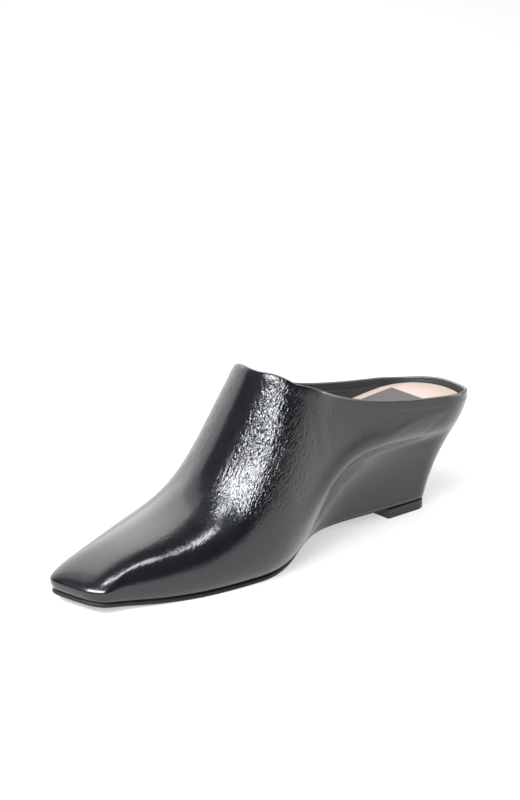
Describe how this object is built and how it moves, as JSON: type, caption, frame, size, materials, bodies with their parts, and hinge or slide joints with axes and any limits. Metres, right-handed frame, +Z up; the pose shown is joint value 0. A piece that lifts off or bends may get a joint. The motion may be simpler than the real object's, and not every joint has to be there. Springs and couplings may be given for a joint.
{
  "type": "wedge mule",
  "caption": "Closed square-toe mule on a low slanted wedge, with a glossy crinkled leather upper drawn down over the wedge, an open back and a covered insole.",
  "frame": {"origin": "centre of the bounding box's footprint, on the floor", "axes": "+X from the toe to the heel, +Y to the medial side, +Z up from the floor"},
  "size_m": [0.2512, 0.074, 0.0982],
  "materials": {
    "upper_leather": "glossy crinkled black",
    "wedge": "moulded, hidden",
    "sock": "matte cream",
    "patch": "matte grey",
    "outsole": "matte dark brown",
    "lift": "matte black"
  },
  "bodies": {
    "root": {"upper": "upper_leather", "wedge_core": "wedge", "insole": "sock", "sock_patch": "patch", "outsole": "outsole", "top_lift": "lift"}
  },
  "joints": []
}
